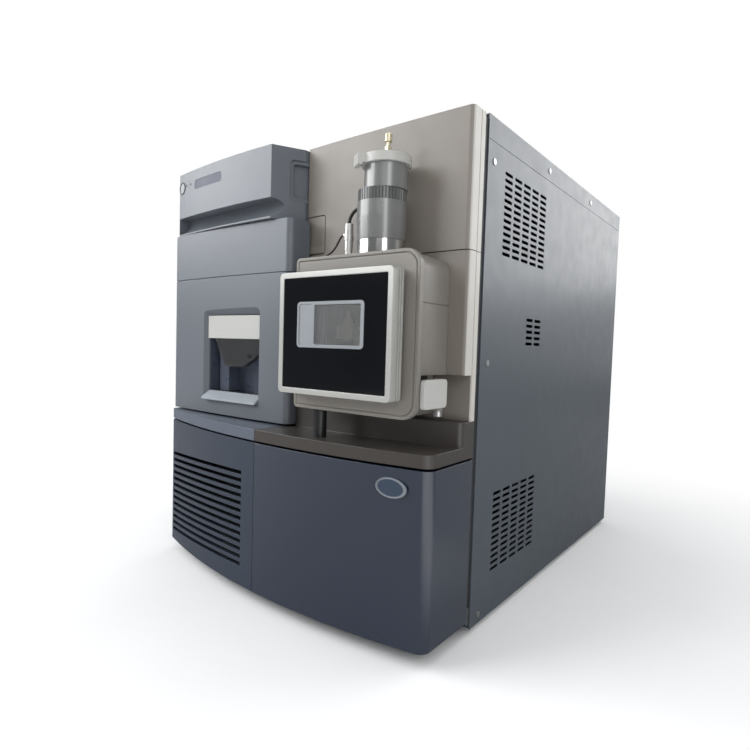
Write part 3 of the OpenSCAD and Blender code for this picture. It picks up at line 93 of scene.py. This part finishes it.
class Nodes:
    """The node tree of a material or a world, with short calls for the nodes that they share."""

    def __init__(self, owner, output="ShaderNodeOutputMaterial", place="Object"):
        self.owner = owner
        owner.use_nodes = True
        self.tree = owner.node_tree
        self.tree.nodes.clear()
        self.out = self.add(output)
        self.place = self.add("ShaderNodeTexCoord").outputs[place]

    def add(self, kind, **settings):
        node = self.tree.nodes.new(kind)
        for key, value in settings.items():
            setattr(node, key, value)
        return node

    def put(self, value, target):
        """Give a socket its value: a link from another socket, or a constant."""
        if isinstance(value, bpy.types.NodeSocket):
            self.tree.links.new(value, target)
        else:
            target.default_value = value

    def show(self, shader):
        self.put(shader, self.out.inputs["Surface"])

    def axis(self, letter):
        node = self.add("ShaderNodeSeparateXYZ")
        self.put(self.place, node.inputs[0])
        return node.outputs[letter]

    def math(self, operation, first, second):
        node = self.add("ShaderNodeMath", operation=operation)
        self.put(first, node.inputs[0])
        self.put(second, node.inputs[1])
        return node.outputs[0]

    def length(self, vector):
        node = self.add("ShaderNodeVectorMath", operation="LENGTH")
        self.put(vector, node.inputs[0])
        return node.outputs["Value"]

    def mapped(self, scale, location=(0.0, 0.0, 0.0)):
        node = self.add("ShaderNodeMapping")
        node.inputs["Location"].default_value = location
        node.inputs["Scale"].default_value = scale
        self.put(self.place, node.inputs["Vector"])
        return node.outputs["Vector"]

    def noise(self, scale, detail=2.0, stretch=None):
        node = self.add("ShaderNodeTexNoise")
        node.inputs["Scale"].default_value = scale
        node.inputs["Detail"].default_value = detail
        self.put(self.mapped(stretch) if stretch else self.place, node.inputs["Vector"])
        return node.outputs["Fac"]

    def ramp(self, value, low, high, at_low=0.3, at_high=0.7):
        """Colours from low to high as the value goes from at_low to at_high."""
        node = self.add("ShaderNodeValToRGB")
        node.color_ramp.elements[0].position = at_low
        node.color_ramp.elements[0].color = low
        node.color_ramp.elements[1].position = at_high
        node.color_ramp.elements[1].color = high
        self.put(value, node.inputs["Fac"])
        return node.outputs["Color"]

    def spread(self, value, low, high, from_low=0.3, from_high=0.7):
        """Numbers from low to high as the value goes from from_low to from_high, level beyond them."""
        node = self.add("ShaderNodeMapRange")
        node.inputs["From Min"].default_value = from_low
        node.inputs["From Max"].default_value = from_high
        node.inputs["To Min"].default_value = low
        node.inputs["To Max"].default_value = high
        self.put(value, node.inputs["Value"])
        return node.outputs["Result"]

    def blend(self, factor, first, second):
        node = self.add("ShaderNodeMix", data_type="RGBA")
        self.put(factor, node.inputs["Factor"])
        self.put(first, node.inputs[MIX_FIRST])
        self.put(second, node.inputs[MIX_SECOND])
        return node.outputs[MIX_RESULT]

    def blend_shaders(self, factor, first, second):
        node = self.add("ShaderNodeMixShader")
        self.put(factor, node.inputs["Fac"])
        self.put(first, node.inputs[1])
        self.put(second, node.inputs[2])
        return node.outputs[0]

    def bump(self, height, strength, distance, normal=None):
        node = self.add("ShaderNodeBump")
        node.inputs["Strength"].default_value = strength
        node.inputs["Distance"].default_value = distance
        self.put(height, node.inputs["Height"])
        if normal is not None:
            self.put(normal, node.inputs["Normal"])
        return node.outputs["Normal"]

    def rounded(self, radius_mm):
        """Normals of edges softened by a radius."""
        node = self.add("ShaderNodeBevel", samples=4)
        node.inputs["Radius"].default_value = radius_mm * MM
        return node.outputs["Normal"]


# ------------------------------------------------------------------ finishes

# Noise scales, in features a metre: a finish's colour drift, its gloss patches, and the haze of clear pieces.
DRIFT_SCALE = 9.0
GLOSS_SCALE = 38.0
HAZE_SCALE = 60.0
GRAIN_DEPTH = 0.2 * MM
COAT_ROUGHNESS = 0.12
CLEAR_IOR = 1.45


class Finish(Nodes):
    """A solid finish: slight colour drift, uneven gloss, softened edges and a fine grain."""

    def __init__(self, name, rgba, roughness, metallic=0.0, mottle=0.03, grain=1400.0, relief=0.12, coat=0.0,
                 stretch=None, edge=0.5, sheen=0.5, patchy=0.1):
        super().__init__(bpy.data.materials.new(name))
        shader = self.add("ShaderNodeBsdfPrincipled")
        self.show(shader.outputs["BSDF"])
        self.base = shader.inputs["Base Color"]
        drift = self.noise(DRIFT_SCALE, 4.0)
        self.put(self.ramp(drift, tint(rgba, 1 - mottle), tint(rgba, 1 + mottle)), self.base)
        patches = self.noise(GLOSS_SCALE, 3.0)
        dull = min(1.0, roughness * (1 + patchy))
        self.put(self.spread(patches, roughness * (1 - patchy), dull), shader.inputs["Roughness"])
        soft_edges = self.rounded(edge) if edge else None
        self.put(self.bump(self.noise(grain, 2.0, stretch), relief, GRAIN_DEPTH, soft_edges), shader.inputs["Normal"])
        shader.inputs["Specular IOR Level"].default_value = sheen
        shader.inputs["Metallic"].default_value = metallic
        if coat:
            shader.inputs["Coat Weight"].default_value = coat
            shader.inputs["Coat Roughness"].default_value = COAT_ROUGHNESS

    def repaint(self, mask, rgba):
        """Turn the base colour into another one where the mask is 1."""
        self.put(self.blend(mask, self.base.links[0].from_socket, rgba), self.base)
        return self


def clear(name, rgba, roughness, opacity):
    """Thin clear glass or plastic: see-through, with a surface gloss that grows at grazing angles."""
    n = Nodes(bpy.data.materials.new(name))
    gloss = n.add("ShaderNodeBsdfGlossy")
    gloss.inputs["Roughness"].default_value = roughness
    through = n.add("ShaderNodeBsdfTransparent")
    through.inputs["Color"].default_value = rgba
    body = n.add("ShaderNodeBsdfDiffuse")
    n.put(n.ramp(n.noise(HAZE_SCALE, 3.0), tint(rgba, 0.9), rgba), body.inputs["Color"])
    fresnel = n.add("ShaderNodeFresnel")
    fresnel.inputs["IOR"].default_value = CLEAR_IOR
    inner = n.blend_shaders(opacity, through.outputs[0], body.outputs[0])
    n.show(n.blend_shaders(fresnel.outputs["Fac"], inner, gloss.outputs[0]))
    return n


def fascia(name, node):
    """Brown plastic whose outermost face, towards the side panel, is painted lighter: a painted highlight for the light
    that falls on that face.
    """
    n = Finish(name, colour(122, 116, 109), 0.4, mottle=0.02, grain=900.0, relief=0.08, edge=0.8)
    outermost = max(v.co.x for v in node.data.vertices)
    # Painted highlight: the outermost face, towards the side panel, turns a lighter brown.
    mask = n.spread(n.axis("X"), 0.0, 1.0, outermost - 1.5 * MM, outermost - 0.8 * MM)
    return n.repaint(mask, colour(190, 187, 181))


def badge(node):
    """A dark blue-grey oval with a silver rim, left bare."""
    n = Finish("badge", colour(52, 66, 84), 0.22, metallic=0.3, coat=0.6, patchy=0.03)
    xs = [v.co.x for v in node.data.vertices]
    zs = [v.co.z for v in node.data.vertices]
    middle_x, half_x = (min(xs) + max(xs)) / 2, (max(xs) - min(xs)) / 2
    middle_z, half_z = (min(zs) + max(zs)) / 2, (max(zs) - min(zs)) / 2
    # The oval becomes a circle of radius 1 about the badge's middle.
    circle = n.mapped((1 / half_x, 0.0, 1 / half_z), (-middle_x / half_x, 0.0, -middle_z / half_z))
    return n.repaint(n.spread(n.length(circle), 0.0, 1.0, 0.8, 0.86), colour(128, 134, 140))


def probe_fittings():
    """Pale brass for the union on the probe's head; silver for the cable connector, on the -X side of it."""
    n = Finish("probe_fittings", colour(210, 200, 172), 0.3, metallic=0.5, patchy=0.03)
    return n.repaint(n.spread(n.axis("X"), 1.0, 0.0, 0.135, 0.14), colour(206, 206, 203))


SLOTS = {
    "slate_sheet": Finish("slate_sheet", colour(66, 74, 82), 0.34, grain=900.0, edge=0.3, sheen=0.7),
    "dark_sheet": Finish("dark_sheet", colour(34, 36, 40), 0.6),
    "zinc_sheet": Finish("zinc_sheet", colour(104, 106, 110), 0.5, metallic=0.7, mottle=0.1, grain=300.0),
    "slate_plastic": Finish("slate_plastic", colour(96, 101, 108), 0.38, mottle=0.02, grain=900.0, relief=0.06,
                            edge=1.2, patchy=0.04),
    "navy_plastic": Finish("navy_plastic", colour(32, 41, 57), 0.26, mottle=0.02, grain=700.0, relief=0.04,
                           coat=1.0, edge=1.2, patchy=0.03),
    "grille_plastic": Finish("grille_plastic", colour(50, 57, 69), 0.34, grain=1600.0, edge=0.6, sheen=0.4),
    "ledge_brown": Finish("ledge_brown", colour(60, 56, 53), 0.34, grain=900.0, relief=0.03, edge=1.6, patchy=0.03),
    "source_paint": Finish("source_paint", colour(122, 118, 112), 0.32, mottle=0.02, grain=900.0, relief=0.08,
                           edge=1.8),
    "silver_paint": Finish("silver_paint", colour(180, 180, 176), 0.3, metallic=0.35, mottle=0.02, grain=1200.0,
                           relief=0.05, edge=1.6, patchy=0.03),
    "black_glass": Finish("black_glass", colour(8, 10, 14), 0.06, mottle=0.2, grain=60.0, relief=0.0),
    "clear_glass": clear("clear_glass", (0.96, 0.97, 0.97, 1.0), 0.03, 0.09),
    "grey_trim": Finish("grey_trim", colour(132, 136, 141), 0.38),
    "white_plastic": Finish("white_plastic", colour(176, 176, 172), 0.36, mottle=0.015, edge=0.9),
    "black_plastic": Finish("black_plastic", colour(20, 21, 23), 0.4),
    "black_rubber": Finish("black_rubber", colour(22, 22, 23), 0.6),
    "clear_plastic": clear("clear_plastic", (0.95, 0.96, 0.98, 1.0), 0.12, 0.03),
    "red_tube": Finish("red_tube", colour(226, 96, 84), 0.3),
    "steel": Finish("steel", colour(178, 178, 178), 0.3, metallic=1.0, mottle=0.06, grain=500.0,
                    stretch=(1.0, 1.0, 12.0)),
    "chrome": Finish("chrome", colour(216, 216, 214), 0.16, metallic=1.0, relief=0.02, edge=0, patchy=0.02),
    "aluminium": Finish("aluminium", colour(176, 178, 180), 0.38, metallic=0.9, mottle=0.05),
    "ceramic": Finish("ceramic", colour(214, 204, 176), 0.45),
    "probe_grey": Finish("probe_grey", colour(120, 121, 120), 0.28, metallic=0.2, relief=0.04, coat=0.3, edge=0,
                         patchy=0.03),
    "probe_band": Finish("probe_band", colour(92, 93, 93), 0.3, metallic=0.2, relief=0.04, edge=0, patchy=0.03),
}

# Pieces with a finish of their own in place of their slot's.
PIECES = {
    "bay_liner": Finish("bay_liner", colour(66, 72, 86), 0.3),
    "display_strip": Finish("display_strip", colour(92, 94, 106), 0.5, mottle=0.02, edge=0.2, sheen=0.25),
    "drip_tray": Finish("drip_tray", colour(146, 152, 158), 0.34, mottle=0.02, edge=0.9),
    "ledge_left": Finish("ledge_left", colour(84, 91, 103), 0.34, mottle=0.02, grain=1600.0, edge=1.4),
    "upper_fascia": fascia("upper_return_painted_highlight", nodes["upper_fascia"]),
    "lower_fascia": fascia("lower_return_painted_highlight", nodes["lower_fascia"]),
    "badge": badge(nodes["badge"]),
    "probe_fittings": probe_fittings(),
}

for sub in frame["record"]["subparts"]:
    name = sub["node"]
    looks = PIECES[name] if name in PIECES else SLOTS[sub["material_slot"]]
    materials = nodes[name].data.materials
    materials.clear()
    materials.append(looks.owner)


# ------------------------------------------------------------------ floor and light

FLOOR_RADIUS = 9.0
FLOOR_SIDES = 96


def add_floor():
    """Pale floor that fades to plain white for the camera. Glossy pieces see it darker, a painted darkening of their
    reflections, but for a light place next to the front right corner, a painted reflection that puts a highlight on
    that corner."""
    angles = [2 * math.pi * i / FLOOR_SIDES for i in range(FLOOR_SIDES)]
    ring = [(FLOOR_RADIUS * math.cos(a), FLOOR_RADIUS * math.sin(a), 0.0) for a in angles]
    mesh = bpy.data.meshes.new("floor")
    mesh.from_pydata(ring, [], [tuple(range(FLOOR_SIDES))])
    floor = bpy.data.objects.new("floor", mesh)
    scene.collection.objects.link(floor)

    n = Nodes(bpy.data.materials.new("floor"))
    ray = n.add("ShaderNodeLightPath")
    # Painted reflection: glossy rays see a light patch next to the front right corner, and the floor darker everywhere
    # else.
    highlight_patch = n.math("MULTIPLY", n.spread(n.axis("X"), 0.0, 1.0, 0.35, 0.6), n.spread(n.axis("Y"), 1.0, 0.0, -0.25, 0.1))
    painted_reflection = n.ramp(highlight_patch, grey(0.3), grey(1.0), 0.0, 1.0)
    plain = n.ramp(n.noise(3.0), grey(0.88), grey(0.92))
    diffuse = n.add("ShaderNodeBsdfDiffuse")
    n.put(n.blend(ray.outputs["Is Glossy Ray"], plain, painted_reflection), diffuse.inputs["Color"])
    white = n.add("ShaderNodeEmission")
    white.inputs["Strength"].default_value = 1.0
    far = n.spread(n.length(n.place), 0.0, 1.0, 0.5, 1.1)
    shown = n.math("MULTIPLY", far, ray.outputs["Is Camera Ray"])
    n.show(n.blend_shaders(shown, diffuse.outputs[0], white.outputs[0]))
    mesh.materials.append(n.owner)


def add_world():
    """Dim room that brightens overhead and behind the object; the camera sees plain white."""
    world = bpy.data.worlds.new("world")
    n = Nodes(world, "ShaderNodeOutputWorld", "Generated")
    overhead = n.spread(n.axis("Z"), 0.14, 0.5, 0.1, 0.9)
    behind = n.spread(n.axis("Y"), 0.0, 0.5, 0.25, 0.85)
    room = n.add("ShaderNodeBackground")
    room.inputs["Color"].default_value = (0.96, 0.98, 1.0, 1.0)
    n.put(n.math("ADD", overhead, behind), room.inputs["Strength"])
    white = n.add("ShaderNodeBackground")
    white.inputs["Color"].default_value = grey(1.0)
    to_camera = n.add("ShaderNodeLightPath").outputs["Is Camera Ray"]
    n.show(n.blend_shaders(to_camera, room.outputs[0], white.outputs[0]))
    scene.world = world


WHITE = (1.0, 1.0, 1.0)
COOL_WHITE = (0.98, 0.99, 1.0)

# Name, place, the point that it faces, size, power in watts, colour.
LAMPS = [
    ("left_front_softbox", (-2.3, -2.1, 2.0), (0.0, -0.2, 0.45), (3.0, 2.2), 122.0, COOL_WHITE),
    ("right_front_softbox", (1.6, -2.5, 1.9), (0.1, -0.2, 0.35), (1.8, 1.6), 12.0, WHITE),
    ("right_strip", (1.9, -1.55, 0.9), (0.2, -0.2, 0.4), (0.6, 1.9), 15.0, WHITE),
    ("rear_softbox", (1.6, 2.4, 1.5), (0.28, 0.1, 0.5), (2.4, 1.5), 26.0, WHITE),
    ("top_softbox", (0.2, 0.2, 2.6), (0.0, 0.0, 0.0), (1.6, 1.6), 14.0, WHITE),
    # Inside the source chamber, so that its parts show through the window pane.
    ("chamber_light", (0.2, -0.1, 0.425), (0.2, -0.02, 0.385), (0.05, 0.02), 0.4, WHITE),
]


def add_lamp(name, at, towards, size, power, rgb):
    data = bpy.data.lights.new(name, "AREA")
    data.shape = "RECTANGLE"
    data.size, data.size_y = size
    data.energy = power
    data.color = rgb
    lamp = bpy.data.objects.new(name, data)
    lamp.location = at
    lamp.rotation_euler = (Vector(towards) - Vector(at)).to_track_quat("-Z", "Y").to_euler()
    scene.collection.objects.link(lamp)


add_floor()
add_world()
for lamp in LAMPS:
    add_lamp(*lamp)

scene.view_settings.view_transform = "Standard"
